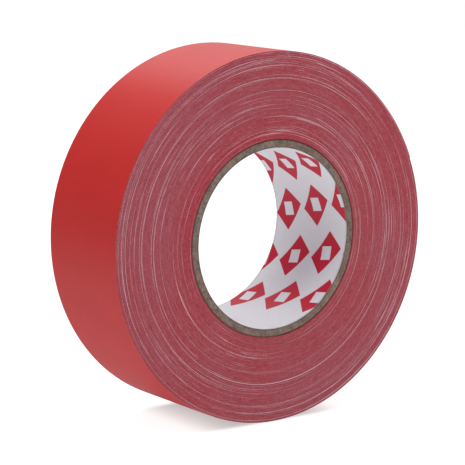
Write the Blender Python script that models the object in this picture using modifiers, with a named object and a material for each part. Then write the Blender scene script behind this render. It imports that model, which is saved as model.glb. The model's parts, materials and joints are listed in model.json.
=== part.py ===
"""A 50 mm wide, 50 m long roll of red cloth tape on a 76 mm cardboard core.

The roll stands on its tread, with its axis along Y and its front side face towards -Y.
The core is wound from flat plies of grey board, each with its own slanted butt joint, and
lined with printed white paper. The tape is one continuous strip. It is split into nodes only
where it bends when its free end is peeled off: the last stretch is a chain of short segments,
each hinged to the one before it, and the first hinged to the roll at the peel line.
"""
import math

import bpy

# Driving dimensions, in metres.
TAPE_WIDTH = 0.050
TAPE_LENGTH = 50.0
TAPE_THICKNESS = 0.000274
BORE_RADIUS = 0.038
LINER_THICKNESS = 0.00015
PLY_COUNT = 6
PLY_PITCH = 0.0005
GLUE_LINE = 0.00005

# The free end of the tape, as angles about the roll's axis: 0 is +X and a quarter turn is +Z.
TAIL_SEGMENTS = 6
SEGMENT_ANGLE = math.radians(7.5)
PEEL_ANGLE = math.radians(66.25)
HINGE_SLIT = 0.0003
UNDER_TAIL_GAP = 0.0003

# Butt joints of the paper plies, as the slit's width and its lean along the width of the core.
PLY_SLIT = 0.0004
PLY_JOINT_TURN = math.radians(110)
LINER_JOINT_TURN = math.radians(17.4)
LINER_JOINT_AT = math.radians(-95)
PLY_JOINT_STAGGER = math.radians(137.5)

# Facets round the circle. Half a facet of offset puts a flat one under the roll.
TREAD_FACETS = 144
CORE_FACETS = 72
CUTTER_STEPS = 24
CUTTER_MARGIN = 0.001

# Worked out from the above.
LINER_OUTSIDE = BORE_RADIUS + LINER_THICKNESS
FIRST_PLY_INSIDE = LINER_OUTSIDE + GLUE_LINE
CORE_RADIUS = FIRST_PLY_INSIDE + PLY_COUNT * PLY_PITCH
END_RADIUS = math.sqrt(CORE_RADIUS**2 + TAPE_LENGTH * TAPE_THICKNESS / math.pi)
TREAD_STEP = math.tau / TREAD_FACETS
CORE_STEP = math.tau / CORE_FACETS
TAIL_END_ANGLE = PEEL_ANGLE - TAIL_SEGMENTS * SEGMENT_ANGLE
HALF_WIDTH = TAPE_WIDTH / 2
BOTTOM = -math.pi / 2


def tread_radius(angle):
    """Outside radius of the outermost turn, which grows by one thickness in each turn towards the free end."""
    turned_back = (angle - TAIL_END_ANGLE) % math.tau
    return END_RADIUS - TAPE_THICKNESS * turned_back / math.tau


AXIS_HEIGHT = tread_radius(BOTTOM) * math.cos(TREAD_STEP / 2)


def clear_scene():
    """Removes whatever the file holds."""
    for item in list(bpy.data.objects):
        bpy.data.objects.remove(item)


def new_collection(name):
    """A collection in the scene."""
    made = bpy.data.collections.new(name)
    bpy.context.scene.collection.children.link(made)
    return made


def plain_material(name, colour, roughness):
    """A Principled material with one colour."""
    material = bpy.data.materials.new(name)
    material.use_nodes = True
    shader = material.node_tree.nodes["Principled BSDF"]
    shader.inputs["Base Color"].default_value = (*colour, 1)
    shader.inputs["Roughness"].default_value = roughness
    shader.inputs["Metallic"].default_value = 0
    return material


def empty_at(name, location, parent=None):
    """An empty that marks an axis, placed in its parent's frame."""
    made = bpy.data.objects.new(name, None)
    made.location = location
    made.parent = parent
    bpy.context.scene.collection.objects.link(made)
    return made


def on_circle(radius, angle):
    """A point of the face plane, in the roll's own frame."""
    return (radius * math.cos(angle), radius * math.sin(angle))


def screw(item, steps, turn=math.tau, rise=0.0):
    """Sweeps the item's edges about its own Z axis, with an optional rise along it."""
    swept = item.modifiers.new("Screw", "SCREW")
    swept.axis = "Z"
    swept.angle = turn
    swept.screw_offset = rise
    swept.steps = steps
    swept.render_steps = steps
    swept.use_merge_vertices = turn >= math.tau
    swept.merge_threshold = 0.00001
    swept.use_smooth_shade = True


def joint_cutter(name, turn, slit, inside, outside, axis, collection):
    """A thin helical blade that cuts a ply's slanted butt joint: a radial edge, swept and thickened."""
    reach = HALF_WIDTH + CUTTER_MARGIN
    mesh = bpy.data.meshes.new(name)
    mesh.from_pydata([(inside, 0, -reach), (outside, 0, -reach)], [(0, 1)], [])
    blade = bpy.data.objects.new(name, mesh)
    collection.objects.link(blade)
    blade.parent = axis
    screw(blade, CUTTER_STEPS, turn * reach / HALF_WIDTH, 2 * reach)
    thick = blade.modifiers.new("Solidify", "SOLIDIFY")
    thick.thickness = slit
    thick.offset = 0
    blade.hide_render = True
    blade.display_type = "WIRE"
    return blade


def paper_ply(name, inside, thickness, joint_turn, joint_at, material, axis):
    """One ply of the core: a turned tube whose two edges meet at a slanted butt joint."""
    outside = inside + thickness
    profile = [
        (outside, 0, HALF_WIDTH),
        (outside, 0, -HALF_WIDTH),
        (inside, 0, -HALF_WIDTH),
        (inside, 0, HALF_WIDTH),
    ]
    mesh = bpy.data.meshes.new(name)
    mesh.from_pydata(profile, [(0, 1), (1, 2), (2, 3), (3, 0)], [])
    mesh.materials.append(material)
    ply = bpy.data.objects.new(name, mesh)
    PARTS.objects.link(ply)
    ply.parent = axis
    ply.rotation_euler.z = CORE_STEP / 2
    screw(ply, CORE_FACETS)
    blade = joint_cutter(
        name + "_joint_blade",
        joint_turn,
        PLY_SLIT,
        inside - CUTTER_MARGIN,
        outside + CUTTER_MARGIN,
        axis,
        CUTTERS,
    )
    blade.rotation_euler.z = joint_at - joint_turn / 2
    cut = ply.modifiers.new("Butt joint", "BOOLEAN")
    cut.operation = "DIFFERENCE"
    cut.object = blade
    return ply


def flat_outline(name, loops, material, parent):
    """A flat outline of one or more closed loops, as thick as the tape is wide."""
    curve = bpy.data.curves.new(name, "CURVE")
    curve.dimensions = "2D"
    curve.fill_mode = "BOTH"
    curve.extrude = HALF_WIDTH
    for loop in loops:
        spline = curve.splines.new("POLY")
        spline.points.add(len(loop) - 1)
        for point, (x, y) in zip(spline.points, loop):
            point.co = (x, y, 0, 1)
        spline.use_cyclic_u = True
    curve.materials.append(material)
    made = bpy.data.objects.new(name, curve)
    PARTS.objects.link(made)
    made.parent = parent
    return made


def slit_angle(radius):
    """The angle that half a hinge slit takes up at a radius."""
    return HINGE_SLIT / 2 / radius


def tread_loop():
    """The outside of the wound tape: a spiral that steps down one turn where the tail lies on it."""
    root_slit = slit_angle(END_RADIUS)
    under = TAPE_THICKNESS + UNDER_TAIL_GAP
    root = PEEL_ANGLE + root_slit
    tail_end = TAIL_END_ANGLE - 2 * root_slit
    loop = []
    for step in range(TAIL_SEGMENTS * round(SEGMENT_ANGLE / TREAD_STEP)):
        angle = TAIL_END_ANGLE + (step + 1) * TREAD_STEP
        loop.append(on_circle(tread_radius(angle) - under, angle))
    loop[-1] = on_circle(tread_radius(root) - under, root)
    loop.append(on_circle(tread_radius(root), root))
    free_facets = TREAD_FACETS - len(loop) + 1
    for step in range(1, free_facets):
        angle = PEEL_ANGLE + step * TREAD_STEP
        loop.append(on_circle(tread_radius(angle), angle))
    end_radius = END_RADIUS - TAPE_THICKNESS
    loop.append(on_circle(end_radius, tail_end))
    loop.append(on_circle(end_radius - UNDER_TAIL_GAP, tail_end))
    return loop


def core_loop():
    """The inside of the wound tape, facet for facet with the outside of the core."""
    return [
        on_circle(CORE_RADIUS, CORE_STEP * (step + 0.5)) for step in range(CORE_FACETS)
    ]


def tail_segment(number, hinge, hinge_angle, material):
    """One short stretch of the free end: a curved strip that starts at its own hinge."""
    start = hinge_angle - slit_angle(END_RADIUS)
    end = hinge_angle - SEGMENT_ANGLE
    if number < TAIL_SEGMENTS:
        end += slit_angle(END_RADIUS)
    facets = round(SEGMENT_ANGLE / TREAD_STEP)
    angles = [start]
    angles += [hinge_angle - step * TREAD_STEP for step in range(1, facets)]
    angles += [end]
    centre_x, centre_y = hinge_centre(hinge_angle)
    outer = [on_circle(tread_radius(angle), angle) for angle in angles]
    inner = [on_circle(tread_radius(angle) - TAPE_THICKNESS, angle) for angle in angles]
    loop = [(x - centre_x, y - centre_y) for x, y in outer + inner[::-1]]
    return flat_outline(f"tail_segment_{number}", [loop[::-1]], material, hinge)


def hinge_centre(angle):
    """Where a hinge line crosses the face plane: half way through the tape, in its slit."""
    return on_circle(tread_radius(angle) - TAPE_THICKNESS / 2, angle)


clear_scene()
PARTS = new_collection("duct_tape_roll")
CUTTERS = new_collection("cutters")

white_paper = plain_material("white_paper", (0.68, 0.66, 0.70), 0.55)
grey_board = plain_material("grey_board", (0.20, 0.16, 0.12), 0.90)
red_cloth_tape = plain_material("red_cloth_tape", (0.50, 0.03, 0.025), 0.45)

# The roll's own frame: its Z axis runs out of the front side face.
roll_axis = empty_at("roll_axis", (0, 0, AXIS_HEIGHT))
roll_axis.rotation_euler.x = math.pi / 2

paper_ply(
    "core_liner",
    BORE_RADIUS,
    LINER_THICKNESS,
    LINER_JOINT_TURN,
    LINER_JOINT_AT,
    white_paper,
    roll_axis,
)
for ply_number in range(1, PLY_COUNT + 1):
    paper_ply(
        f"core_ply_{ply_number}",
        FIRST_PLY_INSIDE + (ply_number - 1) * PLY_PITCH,
        PLY_PITCH - GLUE_LINE,
        PLY_JOINT_TURN,
        LINER_JOINT_AT + ply_number * PLY_JOINT_STAGGER,
        grey_board,
        roll_axis,
    )

flat_outline("wound_tape", [tread_loop(), core_loop()], red_cloth_tape, roll_axis)

previous = roll_axis
previous_centre = (0.0, 0.0)
for segment_number in range(1, TAIL_SEGMENTS + 1):
    angle_here = PEEL_ANGLE - (segment_number - 1) * SEGMENT_ANGLE
    centre = hinge_centre(angle_here)
    offset = (centre[0] - previous_centre[0], centre[1] - previous_centre[1], 0)
    previous = empty_at(f"tail_hinge_{segment_number}", offset, previous)
    previous_centre = centre
    tail_segment(segment_number, previous, angle_here, red_cloth_tape)
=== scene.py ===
# %% [markdown]
# # A roll of red cloth tape
# The roll stands on its tread on a white table. It was wound from one strip of cloth tape,
# 50 mm wide and 50 m long, on a core of grey board with a printed white paper lining.
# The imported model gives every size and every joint, so the first step is to load it and to
# keep its box. The looks are then built around it, piece by piece.

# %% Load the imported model
import json
import math

import bpy
import numpy as np
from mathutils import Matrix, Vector


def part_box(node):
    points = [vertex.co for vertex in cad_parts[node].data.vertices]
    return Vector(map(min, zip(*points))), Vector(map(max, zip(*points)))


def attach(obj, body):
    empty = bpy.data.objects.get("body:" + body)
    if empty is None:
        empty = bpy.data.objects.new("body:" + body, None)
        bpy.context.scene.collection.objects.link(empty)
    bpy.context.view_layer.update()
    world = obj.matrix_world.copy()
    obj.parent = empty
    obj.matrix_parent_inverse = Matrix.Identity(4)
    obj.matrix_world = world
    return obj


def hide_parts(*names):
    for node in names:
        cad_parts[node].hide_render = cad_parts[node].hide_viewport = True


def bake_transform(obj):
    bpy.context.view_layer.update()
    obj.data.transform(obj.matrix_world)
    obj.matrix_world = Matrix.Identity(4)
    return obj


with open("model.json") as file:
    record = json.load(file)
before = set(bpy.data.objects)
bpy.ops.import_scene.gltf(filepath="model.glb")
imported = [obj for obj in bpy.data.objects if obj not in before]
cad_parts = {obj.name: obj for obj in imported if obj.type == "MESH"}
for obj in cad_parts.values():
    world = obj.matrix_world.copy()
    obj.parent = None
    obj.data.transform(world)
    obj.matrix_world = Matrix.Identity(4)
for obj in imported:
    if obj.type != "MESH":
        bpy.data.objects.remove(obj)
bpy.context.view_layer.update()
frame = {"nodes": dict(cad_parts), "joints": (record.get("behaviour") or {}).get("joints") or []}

# %% [markdown]
# ## Sizes
# Everything on the roll is round about one line, so a node's size is best read as its nearest
# and furthest distance from that line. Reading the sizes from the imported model, instead of
# typing them again, keeps the looks and the solids in step.

# %% Read the sizes of the core and the tape
MM = 0.001
TURN = math.tau


def corners_of(node):
    """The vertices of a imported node, as an array of points."""
    vertices = frame["nodes"][node].data.vertices
    flat = np.empty(len(vertices) * 3)
    vertices.foreach_get("co", flat)
    return flat.reshape(-1, 3)


liner_low, liner_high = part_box("core_liner")
AXIS_HEIGHT = (liner_low.z + liner_high.z) / 2
HALF_WIDTH = (liner_high.y - liner_low.y) / 2


def nearest_and_furthest(node):
    """The smallest and the largest distance of a node's vertices from the roll's axis."""
    points = corners_of(node)
    away = np.hypot(points[:, 0], points[:, 2] - AXIS_HEIGHT)
    return away.min(), away.max()


BORE_RADIUS, LINER_OUTSIDE = nearest_and_furthest("core_liner")
CORE_RADIUS = nearest_and_furthest("wound_tape")[0]
ROLL_RADIUS = nearest_and_furthest("tail_segment_6")[1]
TAPE_THICKNESS = 0.274 * MM
TURNS = (ROLL_RADIUS - CORE_RADIUS) / TAPE_THICKNESS
for what, radius in (("bore", BORE_RADIUS), ("core", CORE_RADIUS), ("roll", ROLL_RADIUS)):
    print(f"{what} radius {radius / MM:.2f} mm")
print(f"{TURNS:.1f} turns")

# %% Read where the free end starts, bends and stops
hinges = [Vector(joint["pos_m"]) for joint in frame["joints"]]
HINGE_ANGLES = [math.atan2(h.z - AXIS_HEIGHT, h.x) for h in hinges]
SEGMENT_TURN = HINGE_ANGLES[0] - HINGE_ANGLES[1]
ROOT_ANGLE = HINGE_ANGLES[0] + SEGMENT_TURN / 2
last_segment = corners_of("tail_segment_6")
END_ANGLE = np.arctan2(last_segment[:, 2] - AXIS_HEIGHT, last_segment[:, 0]).min()
print(f"free end from {math.degrees(ROOT_ANGLE):.1f} to {math.degrees(END_ANGLE):.1f} degrees")

# %% [markdown]
# ## The camera
# The camera stands to the left of the roll and a little above its axis, a good distance away
# with a long lens, so that the two side faces are nearly parallel in the view, as they look
# to someone holding the roll at arm's length.

# %% Camera
scene = bpy.context.scene
camera_data = bpy.data.cameras.new("long_lens")
camera_data.lens = 166.12
camera_data.sensor_width = 36
camera = bpy.data.objects.new("long_lens", camera_data)
camera.location = (-0.51860, -0.72915, AXIS_HEIGHT + 0.15480)
look_along = Vector((0.56837, 0.80471, -0.17143))
camera.rotation_euler = look_along.to_track_quat("-Z", "Y").to_euler()
scene.collection.objects.link(camera)
scene.camera = camera
print("camera", [round(v, 3) for v in camera.location])

# %% [markdown]
# ## A table and soft light
# Small goods are lit in a white tent: light comes from everywhere, and a little more of it
# from above. The world gives the light of the tent's walls. A wide lamp overhead gives the
# pale sheen along the top of the roll, and another behind it carries the sheen on to the far
# side. Two small ones, high up behind and in front, reach into the bore and light the lining,
# and a low one beside the camera fills the side face.

# %% Table
table_mesh = bpy.data.meshes.new("white_table")
table_mesh.from_pydata([(-9, -9, 0), (9, -9, 0), (9, 9, 0), (-9, 9, 0)], [], [(0, 1, 2, 3)])
table = bpy.data.objects.new("white_table", table_mesh)
scene.collection.objects.link(table)

# %% Lamps and the tent's walls
def soft_lamp(name, size, power, place, aim, tint=(1, 1, 1)):
    """A square lamp of the given size in metres, which stands at place and faces aim."""
    data = bpy.data.lights.new(name, "AREA")
    data.shape = "SQUARE"
    data.size = size
    data.energy = power
    data.color = tint
    lamp = bpy.data.objects.new(name, data)
    lamp.location = place
    facing = Vector(aim) - Vector(place)
    lamp.rotation_euler = facing.to_track_quat("-Z", "Y").to_euler()
    scene.collection.objects.link(lamp)
    return lamp


middle = (0, 0, AXIS_HEIGHT)
soft_lamp("overhead", 1.6, 19.0, (-0.30, 0.10, 1.40), middle)
soft_lamp("back_wall", 1.3, 3.2, (0.80, 1.30, 0.85), middle)
soft_lamp("over_back", 0.5, 2.8, (0.30, 0.83, 1.25), middle)
soft_lamp("over_front", 0.5, 4.4, (0.30, -0.75, 1.25), middle)
soft_lamp("front_fill", 1.2, 7.5, (0.95, -1.30, 0.20), middle)
tent = bpy.data.worlds.new("tent")
tent.use_nodes = True
tent.node_tree.nodes["Background"].inputs["Color"].default_value = (1, 1, 1, 1)
tent.node_tree.nodes["Background"].inputs["Strength"].default_value = 0.20
scene.world = tent
scene.view_settings.view_transform = "Standard"

# %% [markdown]
# ## Mixing finishes
# A finish is a small sum: so much red, less where a thread lies, paler where the edge is
# scuffed. Such sums are easier to read as sums than as boxes and wires, so a tiny class
# stands for one value in a material and adds the Math nodes when values are added or
# multiplied. Colours are never added this way. They go through Mix nodes.

# %% A value in a material, and the material that it belongs to
class Value:
    """One value inside a finish. Arithmetic on it adds Math nodes and gives a new value."""

    def __init__(self, finish, socket):
        self.finish = finish
        self.socket = socket

    def sum_of(self, operation, first, second):
        return self.finish.node("ShaderNodeMath", {"operation": operation}, {0: first, 1: second})

    def __add__(self, other):
        return self.sum_of("ADD", self, other)

    def __radd__(self, other):
        return self.sum_of("ADD", other, self)

    def __sub__(self, other):
        return self.sum_of("SUBTRACT", self, other)

    def __rsub__(self, other):
        return self.sum_of("SUBTRACT", other, self)

    def __mul__(self, other):
        return self.sum_of("MULTIPLY", self, other)

    def __rmul__(self, other):
        return self.sum_of("MULTIPLY", other, self)

    def __truediv__(self, other):
        return self.sum_of("DIVIDE", self, other)

    def __gt__(self, other):
        return self.sum_of("GREATER_THAN", self, other)

    def __lt__(self, other):
        return self.sum_of("LESS_THAN", self, other)


class Finish:
    """A material with one Principled shader. Constants go straight on the shader's sockets."""

    def __init__(self, name, **constants):
        self.material = bpy.data.materials.new(name)
        self.material.use_nodes = True
        self.nodes = self.material.node_tree.nodes
        self.links = self.material.node_tree.links
        self.shader = self.nodes["Principled BSDF"]
        for socket, value in constants.items():
            self.shader.inputs[socket.replace("_", " ").title()].default_value = value

    def node(self, kind, settings={}, sockets={}, output=0):
        """Adds one node: its settings first, then a value or a link for each socket named."""
        made = self.nodes.new(kind)
        for name, value in settings.items():
            if name == "stops":
                ramp = made.color_ramp.elements
                while len(ramp) < len(value):
                    ramp.new(0.5)
                for stop, (place, colour) in zip(ramp, value):
                    stop.position = place
                    stop.color = (*colour, 1)
            else:
                setattr(made, name, value)
        for name, value in sockets.items():
            self.join(made.inputs[name], value)
        return Value(self, made.outputs[output])

    def join(self, socket, value):
        if isinstance(value, Value):
            self.links.new(value.socket, socket)
        elif hasattr(value, "__len__") and len(value) == 3 and socket.type == "RGBA":
            socket.default_value = (*value, 1)
        else:
            socket.default_value = value

    def paint(self, **sockets):
        """Joins values to the shader's own sockets."""
        for name, value in sockets.items():
            self.join(self.shader.inputs[name.replace("_", " ").title()], value)
        return self.material

    def attribute(self, name):
        """A number stored on the piece's vertices."""
        return self.node("ShaderNodeAttribute", {"attribute_name": name}, output="Fac")

    def blend(self, first, second, share):
        """A colour between two colours."""
        return self.node(
            "ShaderNodeMix", {"data_type": "RGBA"}, {0: share, 6: first, 7: second}, output=2
        )

    def within(self, value, low, high):
        """0 below low, 1 above high, and a smooth rise between."""
        return self.node(
            "ShaderNodeMapRange",
            {"interpolation_type": "SMOOTHSTEP"},
            {"Value": value, "From Min": low, "From Max": high},
        )

    def speckle(self, place, scale, detail=2.0, roughness=0.5):
        """Soft noise from 0 to 1 at a place."""
        return self.node(
            "ShaderNodeTexNoise",
            {},
            {"Vector": place, "Scale": scale, "Detail": detail, "Roughness": roughness},
        )

    def point(self, x=0.0, y=0.0, z=0.0):
        """A place made of three numbers."""
        return self.node("ShaderNodeCombineXYZ", {}, {0: x, 1: y, 2: z})

    def parts_of(self, place):
        """The three numbers of a place."""
        split = self.node("ShaderNodeSeparateXYZ", {}, {0: place})
        outputs = split.socket.node.outputs
        return [Value(self, outputs[n]) for n in range(3)]

    def here(self):
        """The point of the object itself."""
        return self.node("ShaderNodeTexCoord", output="Object")

    def cloth_place(self):
        """Millimetres along and across the strip, from the piece's own map."""
        return self.parts_of(self.node("ShaderNodeUVMap", {"uv_map": "strip_mm"}))

    def relief(self, height, depth, share=1.0):
        """A bump whose height is in the same unit as depth, which is in metres."""
        sockets = {"Height": height, "Distance": depth, "Strength": share}
        bump = self.node("ShaderNodeBump", {}, sockets, "Normal")
        self.join(self.shader.inputs["Normal"], bump)


# %% [markdown]
# ## The table top
# The inside of a tent is overexposed, so the table is as white as its walls and hardly shows
# a shadow. It gives a little light of its own, which does that and lights the roll from below.
# Close to where the roll touches it, a painted shadow dims the table's glow in a small patch.
#
# In the satin film the whole table would shine far too brightly, so reflections see a painted reflection
# instead: a dimmer glow than what is seen, from the part near the roll only, and darker still over the
# painted shadow. It puts a faint sheen on the lower half of the tread.

# %% The table top
white_top = Finish("white_table_top", roughness=0.9, base_color=(0.25, 0.25, 0.25, 1))
white_top.shader.inputs["Specular IOR Level"].default_value = 0.0
white_top.shader.inputs["Emission Strength"].default_value = 0.93
x, y, _ = white_top.parts_of(white_top.here())
# painted shadow: a small patch under the roll where the table's glow drops to half
painted_shadow_x = white_top.within(x * x, 0.040**2, 0.008**2)
painted_shadow_y = white_top.within(y * y, 0.029**2, 0.020**2)
under = painted_shadow_x * painted_shadow_y
light = white_top.blend((1.0, 1.0, 1.0), (0.5, 0.5, 0.5), under)
# painted reflection: in reflections the table glows dimmer, only near the roll, and darker over the painted
# shadow
painted_reflection_near_roll = white_top.within(x * x + y * y, 0.42**2, 0.14**2) * (1.0 - 0.9 * under)
painted_reflection = white_top.blend((0.0, 0.0, 0.0), (0.22, 0.22, 0.25), painted_reflection_near_roll)
by_mirror = white_top.node("ShaderNodeLightPath", output="Is Glossy Ray")
white_top.paint(emission_color=white_top.blend(light, painted_reflection, by_mirror))
table.data.materials.append(white_top.material)
print(f"table top: {len(white_top.nodes)} nodes")

# %% [markdown]
# ## Surfaces from arrays
# Each piece is a grid of points, worked out for all its points at once. Two parameters run
# over the grid: one goes round the roll and the other round the piece's cross-section. The
# grid is closed round the section and capped at both ends, so that each piece is a solid.
#
# Chance has to look the same every time, so wear and wander come from a smooth noise of two
# numbers, made from a seeded table of values and read between its entries.

# %% Points about the roll's axis
def about_axis(radius, angle, across):
    """x is radius times cos(angle), z is the axis height plus radius times sin(angle), and y is across."""
    radius, angle, across = np.broadcast_arrays(radius, angle, across)
    return np.stack([radius * np.cos(angle), across, AXIS_HEIGHT + radius * np.sin(angle)], -1)


# %% Soft noise on a grid
def drift(u, v, seed, wrap=64):
    """
    Value noise: random numbers from -1 to 1 on whole u and v, joined by the curve 3t^2 - 2t^3.
    It repeats after wrap in u.
    """
    table_of_values = np.random.default_rng(seed).uniform(-1, 1, (wrap, 256))
    u0, v0 = np.floor(u).astype(int), np.floor(v).astype(int)
    s, t = u - u0, v - v0
    s, t = s * s * (3 - 2 * s), t * t * (3 - 2 * t)
    at = lambda i, j: table_of_values[(u0 + i) % wrap, (v0 + j) % 256]
    low = at(0, 0) * (1 - s) + at(1, 0) * s
    high = at(0, 1) * (1 - s) + at(1, 1) * s
    return low * (1 - t) + high * t


# %% Put points and faces into a mesh
def new_piece(name, points, faces, strip_mm=None, marks={}):
    """
    Makes an object from a point array and a face list. strip_mm is a map in millimetres, and
    marks are numbers on the points.
    """
    mesh = bpy.data.meshes.new(name)
    mesh.from_pydata(points.reshape(-1, 3).tolist(), [], faces)
    mesh.shade_smooth()
    mesh.set_sharp_from_angle(angle=math.radians(62))
    if strip_mm is not None:
        corner = np.empty(len(mesh.loops), int)
        mesh.loops.foreach_get("vertex_index", corner)
        layer = mesh.uv_layers.new(name="strip_mm")
        layer.data.foreach_set("uv", strip_mm.reshape(-1, 2)[corner].astype(np.float32).ravel())
    for mark, values in marks.items():
        attribute = mesh.attributes.new(mark, "FLOAT", "POINT")
        attribute.data.foreach_set("value", np.asarray(values, np.float32).ravel())
    piece = bpy.data.objects.new(name, mesh)
    scene.collection.objects.link(piece)
    return piece


def swept_faces(stations, around):
    """
    Faces of a grid that is closed round its section, with a cap at each end. The points run
    station by station.
    """
    i, k = np.meshgrid(np.arange(stations - 1), np.arange(around), indexing="ij")
    next_k = (k + 1) % around
    here, beyond = i * around, (i + 1) * around
    sides = np.stack([here + k, here + next_k, beyond + next_k, beyond + k], -1)
    first = list(range(around))[::-1]
    last = [(stations - 1) * around + k for k in range(around)]
    return sides.reshape(-1, 4).tolist() + [first, last]


def facing_out(points, faces):
    """The same faces, turned over if the volume inside them comes out negative."""
    flat = points.reshape(-1, 3)
    quads = np.array([face for face in faces if len(face) == 4])
    a, b, c, d = (flat[quads[:, n]] for n in range(4))
    inside = np.einsum("ij,ij->", a, np.cross(b, c)) + np.einsum("ij,ij->", a, np.cross(c, d))
    return [face[::-1] for face in faces] if inside < 0 else faces


# %% [markdown]
# ## The wound strip
# The strip is wound tight, so all that shows of it is its outermost turn and its two edges,
# which make the side faces. On a real roll those faces are not flat. Each of the 134 turns is
# a fine ridge with a groove beside it, and every turn strays sideways by a hair. Where a turn
# stands out it is scuffed and shows as a pale arc. Where it is sunk, painted shade makes it a
# dark arc, and the grooves between the turns are painted darker with painted shade too.
# Such an arc keeps to its own turn for as long as a sixth of the circle or more. Most short
# scuffs lie in a few places, where the roll was set down or knocked.
#
# A bump on a flat ring could fake the ridges, but not the spiral, and it would be lost in the
# mesh. So the side faces are built turn by turn. A groove point is shared by the turn under
# it and the turn over it, and each turn has one more row of points along its crest.

# %% Where the strip is, turn by turn
STEPS = 144
ROOT_TURN = TURNS - 1 - (ROOT_ANGLE - END_ANGLE) / TURN
LAST = int(ROOT_TURN * STEPS)
groove_turn = ROOT_TURN - (LAST - np.arange(LAST + STEPS + 1)) / STEPS
crest_turn = groove_turn[: LAST + 1]


def angle_at(turn):
    """The strip winds clockwise as it goes outwards, so its angle falls by a full circle each turn."""
    return END_ANGLE + TURN * (TURNS - 1 - turn)


def radius_at(turn):
    """The inner face of the strip moves out by one thickness each turn."""
    return CORE_RADIUS + TAPE_THICKNESS * turn


print(f"{LAST} steps along the strip, from turn {groove_turn[0]:.3f} to {ROOT_TURN:.3f}")

# %% Streaks: stretches where a turn stands out or is sunk
def streaks(angle, level, seed, long_ones, short_ones):
    """
    Pale arcs, and dark arcs of painted shade. level counts turns outwards from the core. An arc
    keeps to one turn, so its level falls by x / TURN over an angle x, and it wanders off that a
    little. Its strength falls as exp(-w^2) across it and as exp(-x^4) along it. Two in three of
    the long arcs have a dark arc of painted shade beside them, where the next turn is sunk.
    """
    chance = np.random.default_rng(seed)
    knots = chance.uniform([0, 0.1], [TURN, 1], (8, 2))
    pale, sunk_and_painted_shade = np.zeros_like(angle), np.zeros_like(angle)
    for n in range(long_ones + short_ones):
        is_long = n < long_ones
        middle, depth = chance.uniform([0, 0.02], [TURN, 1])
        if not is_long and chance.random() < 0.7:
            middle, depth = knots[chance.integers(len(knots))] + chance.normal(0, [0.24, 0.09])
        half_length = chance.uniform(0.25, 1.10) if is_long else chance.uniform(0.03, 0.16)
        half_thick = chance.uniform(0.28, 0.55) if is_long else chance.uniform(0.25, 0.5)
        strength = chance.uniform(0.25, 1.0) ** 2
        companion = chance.choice([-1.0, 1.0, 0])
        x = (angle - middle + math.pi) % TURN - math.pi
        near = np.abs(x) < 1.5 * half_length
        x = x[near]
        wander = 0.6 * drift(x * 2.5 + 20, np.full_like(x, n % 250), seed + 5)
        off = level[near] - depth % 1 * TURNS + x / TURN - wander
        flicker = 0.75 + 0.25 * drift(x * 15 + 40, np.full_like(x, n % 250 + 0.5), seed + 6, 128)
        along = strength * flicker * np.exp(-((x / half_length) ** 4))
        pale[near] += along * np.exp(-((off / half_thick) ** 2))
        if is_long and companion:
            sunk_and_painted_shade[near] += along * np.exp(-(((off - companion) / 0.45) ** 2))
    return pale, sunk_and_painted_shade


# %% How far the strip's edge strays from the roll's side face
def edge_of_strip(turn, level, seed):
    """
    How far an edge stands out at each point, how pale it is and how much painted shade it gets:
    wide bands, each turn's own wander, and streaks.
    """
    angle = angle_at(turn) % TURN
    bands = drift(angle / TURN * 10, level / 9, seed, 10)
    own_way = drift(turn * 9, np.full_like(turn, 0.5), seed + 1, 1300)
    pale, sunk_and_painted_shade = streaks(angle, level, seed + 2, 260, 260)
    stands_out = (0.030 * bands + 0.012 * own_way + 0.035 * pale - 0.045 * sunk_and_painted_shade) * MM
    return stands_out, pale + 0.10 * bands + 0.14 * own_way, sunk_and_painted_shade


# %% Build both side faces and the tread as one closed surface
ROWS = 12
groove_angle, crest_angle = angle_at(groove_turn), angle_at(crest_turn)
groove_radius = radius_at(groove_turn)
crest_radius = radius_at(crest_turn + 0.5)
across = np.linspace(-1, 1, ROWS + 1)[1:-1]

points, pale, dark, strip_mm = [], [], [], []


def keep(places, paleness, painted_shade_amount, map_mm):
    """Adds points with their marks, and returns the number of the first."""
    first = sum(len(p) for p in points)
    points.append(places)
    pale.append(np.broadcast_to(paleness, len(places)))
    dark.append(np.broadcast_to(painted_shade_amount, len(places)))
    strip_mm.append(map_mm)
    return first


def along_mm(turn):
    """Millimetres along the strip's outermost turn, measured back from its free end."""
    return (turn - (TURNS - 1)) * TURN * ROLL_RADIUS / MM


side_first = {}
for side, seed in ((-1, 10), (1, 50)):
    out_groove, pale_groove, painted_shade_groove = edge_of_strip(groove_turn, groove_turn, seed)
    out_crest, pale_crest, painted_shade_crest = edge_of_strip(crest_turn, crest_turn + 0.5, seed)
    y_groove = side * (HALF_WIDTH - 0.045 * MM + out_groove)
    y_crest = side * (HALF_WIDTH + out_crest)
    groove_map = np.stack([along_mm(groove_turn - 1), y_groove / MM], -1)
    crest_map = np.stack([along_mm(crest_turn), y_crest / MM], -1)
    # painted shade: the grooves between the turns get 0.35 more darkness than the crests
    side_first[side] = (
        keep(about_axis(groove_radius, groove_angle, y_groove), pale_groove, painted_shade_groove + 0.35, groove_map),
        keep(about_axis(crest_radius, crest_angle, y_crest), pale_crest, painted_shade_crest, crest_map),
    )

outer = np.arange(LAST, LAST + STEPS + 1)
inner = np.arange(0, STEPS + 1)
row_first = {}
for name, ring in (("tread", outer), ("inside", inner)):
    y = across[:, None] * HALF_WIDTH
    places = about_axis(groove_radius[ring], groove_angle[ring], y)
    map_mm = np.stack(np.broadcast_arrays(along_mm(groove_turn[ring] - 1), y / MM), -1)
    row_first[name] = keep(places.reshape(-1, 3), 0.0, 0.0, map_mm.reshape(-1, 2))


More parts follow.
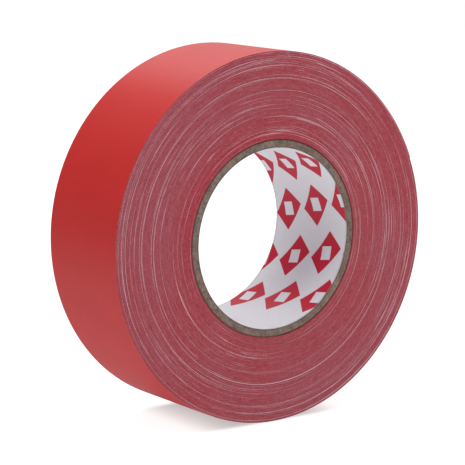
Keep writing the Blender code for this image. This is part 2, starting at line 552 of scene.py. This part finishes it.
def wall(name, ring):
    """
    Numbers of the points of the tread or the inside: the front groove, the rows across, and
    the back groove.
    """
    front = side_first[-1][0] + ring
    rows = row_first[name] + np.arange((ROWS - 1) * (STEPS + 1)).reshape(ROWS - 1, -1)
    return np.vstack([front, rows, side_first[1][0] + ring])


def quads_of(grid):
    """The faces of a grid of point numbers."""
    return np.stack([grid[:-1, :-1], grid[:-1, 1:], grid[1:, 1:], grid[1:, :-1]], -1).reshape(-1, 4)


tread_grid, inside_grid = wall("tread", outer), wall("inside", inner)
i = np.arange(LAST)
faces = []
for side in (-1, 1):
    groove, crest = side_first[side]
    lower = np.stack([groove + i, groove + i + 1, crest + i + 1, crest + i], -1)
    upper = np.stack([crest + i, crest + i + 1, groove + i + 1 + STEPS, groove + i + STEPS], -1)
    both = np.concatenate([lower, upper])
    faces += (both if side < 0 else both[:, ::-1]).tolist()
    start = [groove, crest, groove + STEPS]
    stop = [groove + LAST, groove + LAST + STEPS, crest + LAST]
    faces += [start, stop] if side < 0 else [start[::-1], stop[::-1]]
faces += quads_of(tread_grid)[:, ::-1].tolist() + quads_of(inside_grid).tolist()
for column, grid in ((0, inside_grid), (-1, tread_grid)):
    low, high = grid[:, 0], grid[:, -1]
    step = np.stack([low[:-1], low[1:], high[1:], high[:-1]], -1)
    faces += (step if column else step[:, ::-1]).tolist()

web_points = np.concatenate(points)
web_faces = facing_out(web_points, faces)
web_marks = {"pale": np.concatenate(pale), "dark": np.concatenate(dark)}
wound = new_piece("wound_strip", web_points, web_faces, np.concatenate(strip_mm), web_marks)
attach(wound, "roll")
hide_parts("wound_tape")
print(f"wound strip: {len(web_points)} points, {len(web_faces)} faces")

# %% [markdown]
# ## The free end
# The last 61 mm of the strip is the free end. It is built in six stretches, one over each
# hinge, each from the middle of one segment to the middle of the next. Nothing here hinges or
# bends them: they keep the rolled-up shape.
#
# For a curl, where two stretches meet, the nearer one would still have a share of its turn to
# come and the further one would have begun with the same share, or else the strip would curl in
# steps, like a folding rule. At a share of 0.238 both would run the same way there, because the
# turn that is left equals the lean that the rise of w adds. Each would move away by 0.04 mm as
# it did so, which the slim tongues would cover. The loop works out where each rise would start,
# but nothing uses it.

# %% Stretches of the free end
TONGUE = 0.07 * MM
SLIMMER_FACE, SLIMMER_EDGE = 0.012 * MM, 0.02 * MM


def strip_stretch(name, from_angle, to_angle, steps, tongues):
    """
    A slab that follows the spiral: the film on its outside, the adhesive inside, and an edge
    each side with a crest half way. A tongue before or after it, slightly slimmer than the
    strip, reaches into the neighbour.
    """
    before, after = tongues
    angle = np.linspace(from_angle, to_angle, steps + 1)
    reach = TONGUE / ROLL_RADIUS
    angle = np.concatenate([[from_angle + reach] * before, angle, [to_angle - reach] * after])[:, None]
    count_along = len(angle)
    slim = np.zeros((count_along, 1))
    slim[:before] = 1
    slim[count_along - after :] = 1
    turn = (TURNS - 1) - (angle - END_ANGLE) / TURN
    low = radius_at(turn) + SLIMMER_FACE * slim
    high = radius_at(turn + 1) - SLIMMER_FACE * slim
    out_front = edge_of_strip(turn, turn + 0.5, 10)[0] - SLIMMER_EDGE * slim
    out_back = edge_of_strip(turn, turn + 0.5, 50)[0] - SLIMMER_EDGE * slim
    y = np.linspace(-1, 1, ROWS + 1)[None, :] * (HALF_WIDTH - SLIMMER_EDGE * slim)
    top = about_axis(high, angle, y)
    under = about_axis(low + 0.004 * MM, angle, y[:, ::-1])
    front = about_axis((low + high) / 2, angle, -HALF_WIDTH - out_front)
    back = about_axis((low + high) / 2, angle, HALF_WIDTH + out_back)
    section = np.concatenate([top, back, under, front], 1)
    count = section.shape[1]
    along = np.broadcast_to(along_mm(turn), (count_along, count))
    map_mm = np.stack([along, section[..., 1] / MM], -1)
    inward = np.zeros((count_along, count))
    inward[:, ROWS + 2 : 2 * ROWS + 3] = 1
    rim = np.zeros((count_along, count))
    rim[:, [ROWS + 1, -1]] = 1
    faces = facing_out(section, swept_faces(count_along, count))
    return new_piece(name, section, faces, map_mm, {"inward": inward, "rim": rim})


def rise_at(share):
    """
    How far along its rise the curve w = 3t^2 - 2t^3 reaches w = share, which is
    t = 1/2 - sin(asin(1 - 2w) / 3).
    """
    return 0.5 - math.sin(math.asin(1 - 2 * share) / 3)


EVEN_SHARE = 0.238
SHARE_LEFT = [0.0, 0.30] + [EVEN_SHARE] * 5
FULL_BEND = math.radians(30)
HALF_STRETCH = ROLL_RADIUS * math.sin(SEGMENT_TURN / 2)
middles = [ROOT_ANGLE] + [angle - SEGMENT_TURN / 2 for angle in HINGE_ANGLES]
middles[-1] = END_ANGLE
free_end = []
for n, hinge_angle in enumerate(HINGE_ANGLES):
    steps, tongues = (24 if n == 5 else 16), (n > 0, n < 5)
    piece = strip_stretch(f"free_end_{n + 1}", middles[n], middles[n + 1], steps, tongues)
    rise_from, rise_to = rise_at(SHARE_LEFT[n]), rise_at(1 - SHARE_LEFT[n + 1])
    span = 2 * HALF_STRETCH / (rise_to - rise_from)
    forward = Vector((math.sin(hinge_angle), 0, -math.cos(hinge_angle)))
    start = hinges[n] - forward * (HALF_STRETCH + rise_from * span)
    tuple(start + forward * span)
    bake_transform(piece)
    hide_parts(f"tail_segment_{n + 1}")
    free_end.append(piece)
shift = 2 * HALF_STRETCH * (1 - math.cos(EVEN_SHARE * FULL_BEND)) / MM
print(f"free end in {len(free_end)} stretches, which part by {shift:.3f} mm when fully curled")

# %% [markdown]
# ## The core
# A core is wound from strips of paper laid at a slant, so every ply has a joint that leans
# along the width, and the joints of the six plies are staggered. Cut board has no crisp rim:
# its fibres stand up unevenly. Each ply is a ring that is open at its own leaning joint, with
# a rim that is rough from point to point.

# %% Rings with a leaning joint
def leaning_ring(name, inside, outside, joint_at, lean, slit, steps, rows, rough, seed):
    """
    A ring that runs from its joint once round to its joint again. The joint's angle changes by lean from
    the back edge to the front edge. The wall's rows go across, and the rims are rounded and rough.
    """
    y = np.linspace(-1, 1, rows + 1)
    thick = outside - inside
    inner_row, outer_row = np.full(rows + 1, inside), np.full(rows + 1, outside)
    rounding = [inside + thick * 0.3, inside + thick * 0.7]
    back_rounding = [outside - thick * 0.3, inside + thick * 0.3]
    section_r = np.concatenate([inner_row, rounding, outer_row, back_rounding])
    section_y = np.concatenate([y, [1.0, 1.0], y[::-1], [-1.0, -1.0]]) * HALF_WIDTH
    rim = np.zeros(len(section_r))
    rim[[rows + 1, rows + 2, -2, -1]] = 1
    rim[[0, rows, rows + 3, 2 * rows + 3]] = 0.3
    u = np.linspace(0, 1, steps + 1)[:, None]
    gap = slit / ((inside + outside) / 2)
    angle = joint_at - lean * section_y / (2 * HALF_WIDTH) + gap / 2 + u * (TURN - gap)
    lumps = drift(angle / TURN * 96 % 96, section_r / (0.3 * MM) + 40 * np.sign(section_y), seed, 96)
    grain = np.random.default_rng(seed + 1).uniform(-1, 1, angle.shape)
    stands_out = rough * (rim * (0.65 * lumps + 0.35 * grain) - 0.9 * (rim == 0.3))
    radius = section_r + np.zeros_like(angle)
    points = about_axis(radius, angle, section_y + np.sign(section_y) * stands_out * (rim > 0))
    map_mm = np.stack([angle * (inside + outside) / 2 / MM, points[..., 1] / MM], -1)
    faces = facing_out(points, swept_faces(steps + 1, len(section_r)))
    return new_piece(name, points, faces, map_mm, {"rim": np.broadcast_to(rim, angle.shape)})


LEAN = math.radians(110)
LINER_LEAN = math.radians(17.4)
LINER_JOINT = math.radians(-95)
STAGGER = math.radians(137.5)
plies = []
for n in range(1, 7):
    inside, outside = nearest_and_furthest(f"core_ply_{n}")
    joint_at, slit, rough = LINER_JOINT + n * STAGGER, 0.35 * MM, 0.035 * MM
    sizes = (inside, outside, joint_at, LEAN, slit, 240, 28, rough)
    ply = leaning_ring(f"board_ply_{n}", *sizes, 100 + n)
    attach(ply, "roll")
    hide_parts(f"core_ply_{n}")
    plies.append(ply)
print("board plies:", len(plies))

# %% The paper lining
lining = leaning_ring(
    "paper_lining", BORE_RADIUS, LINER_OUTSIDE, LINER_JOINT, LINER_LEAN, 0.15 * MM, 288, 24, 0.02 * MM, 200
)
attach(lining, "roll")
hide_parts("core_liner")

# %% [markdown]
# ## Red film
# The outside of cloth tape is a film of red polyethylene, calendered on to the cloth, so it
# has a satin sheen and the faintest print of the threads under it.

# %% Red film
def red_film(name):
    """The film's colour and sheen, with the print of the cloth as a shallow relief."""
    film = Finish(name, roughness=0.42, base_color=(0.56, 0.014, 0.012, 1))
    along, across_mm, _ = film.cloth_place()
    warp = film.node("ShaderNodeMath", {"operation": "SINE"}, {0: across_mm * (TURN / 0.95)})
    weft = film.node("ShaderNodeMath", {"operation": "SINE"}, {0: along * (TURN / 1.35)})
    place = film.point(along * 0.05, across_mm)
    drawn = film.speckle(place, 1.1, 3.0)
    cloudy = film.speckle(film.here(), 60.0, 2.0)
    fine = film.speckle(film.here(), 1500.0, 2.0)
    film.relief(warp * 0.28 + weft * 0.20 + drawn * 1.2, 0.012 * MM, 0.6)
    brighter = cloudy * 0.4 + drawn * 0.2 + fine * 0.4
    red = film.blend((0.46, 0.008, 0.007), (0.62, 0.018, 0.016), brighter)
    film.paint(base_color=red, roughness=0.36 + drawn * 0.12)
    return film


outer_film = red_film("red_film")

# %% [markdown]
# ## The cut edges of the turns
# A log of tape is cut into rolls with a knife. The cut shows the red film as a fine line and
# the paler cloth and glue beside it, which together look a dull, dusty red. Near the core the
# turns are packed tighter and the colour is fuller. The grain is finest across the turns, so
# the noise is read in polar coordinates: slowly along a turn and quickly from turn to turn.

# %% Cut edges
cut = Finish("cut_edges", roughness=0.62, base_color=(0.36, 0.075, 0.09, 1))
cut.shader.inputs["Specular IOR Level"].default_value = 0.3
pale_mark, painted_shade_mark = cut.attribute("pale"), cut.attribute("dark")
x, y, z = cut.parts_of(cut.here())
height = z - AXIS_HEIGHT
out_m = cut.node("ShaderNodeMath", {"operation": "SQRT"}, {0: x * x + height * height})
round_x, round_z = x / out_m, height / out_m
at_back = y > 0.0
grain_place = cut.point(round_x * 17.0, round_z * 17.0, out_m * 2500.0 + at_back * 50.0)
grain = cut.speckle(grain_place, 1.0, 3.0, 0.65)
dots_place = cut.point(round_x * 105.0, round_z * 105.0, out_m * 2700.0 + at_back * 90.0)
dots = cut.speckle(dots_place, 1.0, 2.0, 0.6)
cloudy = cut.speckle(cut.here(), 28.0, 2.0)
tight_side = cut.within(round_z * 0.8 - round_x * 0.6, -0.3, 0.9)
tight = cut.within(out_m, CORE_RADIUS + 14.0 * MM, CORE_RADIUS + 2.0 * MM) * tight_side
plain = cut.blend((0.352, 0.045, 0.061), (0.337, 0.062, 0.083), cut.within(cloudy, 0.35, 0.65))
fuller = cut.blend(plain, (0.36, 0.028, 0.043), tight)
sunken = cut.blend(fuller, (0.22, 0.018, 0.030), cut.within(grain * 0.5 + dots * 0.5, 0.51, 0.34) * 0.75)
mottled = cut.blend(sunken, (0.48, 0.145, 0.185), cut.within(grain * 0.5 + dots * 0.5, 0.49, 0.70) * 0.75)
shown = cut.within(pale_mark * (0.1 + grain * 0.8 + dots * 1.1), 0.05, 0.95)
streaked = cut.blend(mottled, (0.60, 0.36, 0.41), shown)
# painted shade: dark arcs beside sunk turns and in the grooves between turns
shaded = cut.blend(streaked, (0.20, 0.014, 0.022), cut.within(painted_shade_mark, 0.0, 1.2) * 0.85)
cut.relief(dots, 0.03 * MM, 0.6)
# painted shade: the side face is darkened over its last 0.9 mm next to the core
painted_shade_by_core = cut.within(out_m, CORE_RADIUS + 0.9 * MM, CORE_RADIUS)
cut.paint(base_color=cut.blend(shaded, (0.10, 0.012, 0.016), painted_shade_by_core * 0.6), roughness=0.65 + grain * 0.2)

# %% Give the wound strip its two finishes
wound.data.materials.append(outer_film.material)
wound.data.materials.append(cut.material)
flat_normals = np.empty(len(wound.data.polygons) * 3)
wound.data.polygons.foreach_get("normal", flat_normals)
on_side = (np.abs(flat_normals.reshape(-1, 3)[:, 1]) > 0.5).astype(np.int32)
wound.data.polygons.foreach_set("material_index", on_side)
print("faces on the two sides:", int(on_side.sum()))

# %% [markdown]
# ## The underside of the strip
# Under the film is a layer of rubber glue pressed into white cotton. It only shows when the
# free end is peeled up: a pale, slightly sticky surface with the weave standing out in it.

# %% Glue and cloth
under = Finish("glue_and_cloth", roughness=0.45, base_color=(0.62, 0.56, 0.50, 1))
along, across_mm, _ = under.cloth_place()
warp = under.node("ShaderNodeMath", {"operation": "SINE"}, {0: across_mm * (TURN / 0.95)})
weft = under.node("ShaderNodeMath", {"operation": "SINE"}, {0: along * (TURN / 1.35)})
thread = under.within(warp, 0.2, 0.9) * 0.6 + under.within(weft, 0.3, 0.9) * 0.5
blotch = under.speckle(under.here(), 400.0, 3.0)
under.relief(thread + blotch * 0.3, 0.05 * MM, 0.8)
under.paint(
    base_color=under.blend((0.55, 0.40, 0.36), (0.74, 0.70, 0.64), thread * 0.7 + blotch * 0.3),
    roughness=0.38 + blotch * 0.2,
)
strip_edge = Finish("strip_edge", roughness=0.6, base_color=(0.40, 0.075, 0.09, 1))
fibre = strip_edge.speckle(strip_edge.here(), 900.0, 2.0)
strip_edge.paint(base_color=strip_edge.blend((0.36, 0.05, 0.06), (0.50, 0.14, 0.17), fibre))

# %% Give each stretch its finishes
for piece in free_end:
    for finish in (outer_film, under, strip_edge):
        piece.data.materials.append(finish.material)
    count = 2 * (ROWS + 1) + 2
    k = np.arange(len(piece.data.polygons)) % count
    which = np.where(k < ROWS, 0, np.where((k > ROWS + 1) & (k < 2 * ROWS + 2), 1, 2))
    which[-2:] = 2
    piece.data.polygons.foreach_set("material_index", which.astype(np.int32))

# %% [markdown]
# ## Grey board
# Core board is made from waste paper: grey-brown, matt, with flecks of lighter and darker
# fibre. A painted shade darkens a thin line against the tape and against the lining.

# %% Grey board
board = Finish("grey_board", roughness=0.92, base_color=(0.27, 0.20, 0.165, 1))
board.shader.inputs["Specular IOR Level"].default_value = 0.25
fleck = board.speckle(board.here(), 1100.0, 3.0, 0.65)
cloudy = board.speckle(board.here(), 210.0, 2.0)
board.relief(fleck, 0.05 * MM, 0.6)
pulp = board.blend((0.095, 0.067, 0.053), (0.27, 0.197, 0.160), board.within(fleck, 0.32, 0.68))
x, _, z = board.parts_of(board.here())
height = z - AXIS_HEIGHT
out_m = board.node("ShaderNodeMath", {"operation": "SQRT"}, {0: x * x + height * height})
# painted shade: a thin dark line where the board meets the tape and where it meets the lining
by_tape = board.within(out_m, CORE_RADIUS - 0.5 * MM, CORE_RADIUS - 0.1 * MM)
by_lining = board.within(out_m, BORE_RADIUS + 0.7 * MM, BORE_RADIUS + 0.2 * MM)
painted_shade_at_joins = by_tape * 0.7 + by_lining * 0.8
clouded = board.blend((0.11, 0.079, 0.062), (0.26, 0.190, 0.155), board.within(cloudy, 0.3, 0.7))
mixed = board.blend(pulp, clouded, 0.4)
with_painted_shade = board.blend(mixed, (0.045, 0.030, 0.025), painted_shade_at_joins * (0.4 + cloudy * 0.8))
board.paint(base_color=with_painted_shade, roughness=0.88 + fleck * 0.08)
for ply in plies:
    ply.data.materials.append(board.material)

# %% [markdown]
# ## Printed paper
# The lining is white paper with a small red pattern printed over and over on a slant. The
# pattern here is a plain one: a red oblong with a white lozenge in it. It stops short of the
# joint, where the paper is blank. The paper's own cut edge is soft, and painted shade makes it
# dark.

# %% Where each printed oblong lies
paper = Finish("printed_paper", roughness=0.5, base_color=(0.75, 0.76, 0.81, 1))
paper.shader.inputs["Specular IOR Level"].default_value = 0.3
along, across_mm, _ = paper.cloth_place()
STEP_ALONG, STEP_ACROSS = (20.3, 8.5), (-4.5, 20.3)
FIRST = (math.radians(-24.6) * 38.0, 7.0)
spread = STEP_ALONG[0] * STEP_ACROSS[1] - STEP_ALONG[1] * STEP_ACROSS[0]
from_first = along - FIRST[0], across_mm - FIRST[1]
column = (from_first[0] * STEP_ACROSS[1] - from_first[1] * STEP_ACROSS[0]) * (1 / spread)
row = (from_first[1] * STEP_ALONG[0] - from_first[0] * STEP_ALONG[1]) * (1 / spread)
nearest_column = paper.node("ShaderNodeMath", {"operation": "ROUND"}, {0: column})
nearest_row = paper.node("ShaderNodeMath", {"operation": "ROUND"}, {0: row})
off_along = from_first[0] - nearest_column * STEP_ALONG[0] - nearest_row * STEP_ACROSS[0]
off_across = from_first[1] - nearest_column * STEP_ALONG[1] - nearest_row * STEP_ACROSS[1]

# %% Print the oblongs
tilt = math.radians(-36)
long_way = off_along * math.cos(tilt) + off_across * math.sin(tilt)
short_way = off_across * math.cos(tilt) - off_along * math.sin(tilt)


def size_of(value):
    """The value without its sign."""
    return paper.node("ShaderNodeMath", {"operation": "ABSOLUTE"}, {0: value})


FIRST_COLUMN, LAST_ALONG = -1.5, 160.5
long_size, short_size = size_of(long_way), size_of(short_way)
oblong = (1.0 - paper.within(long_size, 7.9, 8.1)) * (1.0 - paper.within(short_size, 5.4, 5.6))
lozenge = 1.0 - paper.within(long_size + short_size, 4.1, 4.3)
centre_along = along - off_along
before_joint = (nearest_column > FIRST_COLUMN) * (centre_along < LAST_ALONG)
printed = oblong * (1.0 - lozenge) * before_joint
fibre = paper.speckle(paper.here(), 700.0, 3.0)
ink = paper.blend((0.50, 0.006, 0.030), (0.60, 0.012, 0.048), fibre)
sheet = paper.blend((0.70, 0.715, 0.76), (0.78, 0.80, 0.845), fibre)
paper.relief(fibre, 0.01 * MM, 0.5)
on_face = paper.blend(sheet, ink, printed)
# painted shade: the paper's cut rim is darkened
painted_rim_shade = paper.within(paper.attribute("rim"), 0.1, 0.5)
with_painted_rim_shade = paper.blend(on_face, (0.20, 0.17, 0.16), painted_rim_shade)
paper.paint(base_color=with_painted_rim_shade, roughness=0.48 + fibre * 0.12)
lining.data.materials.append(paper.material)
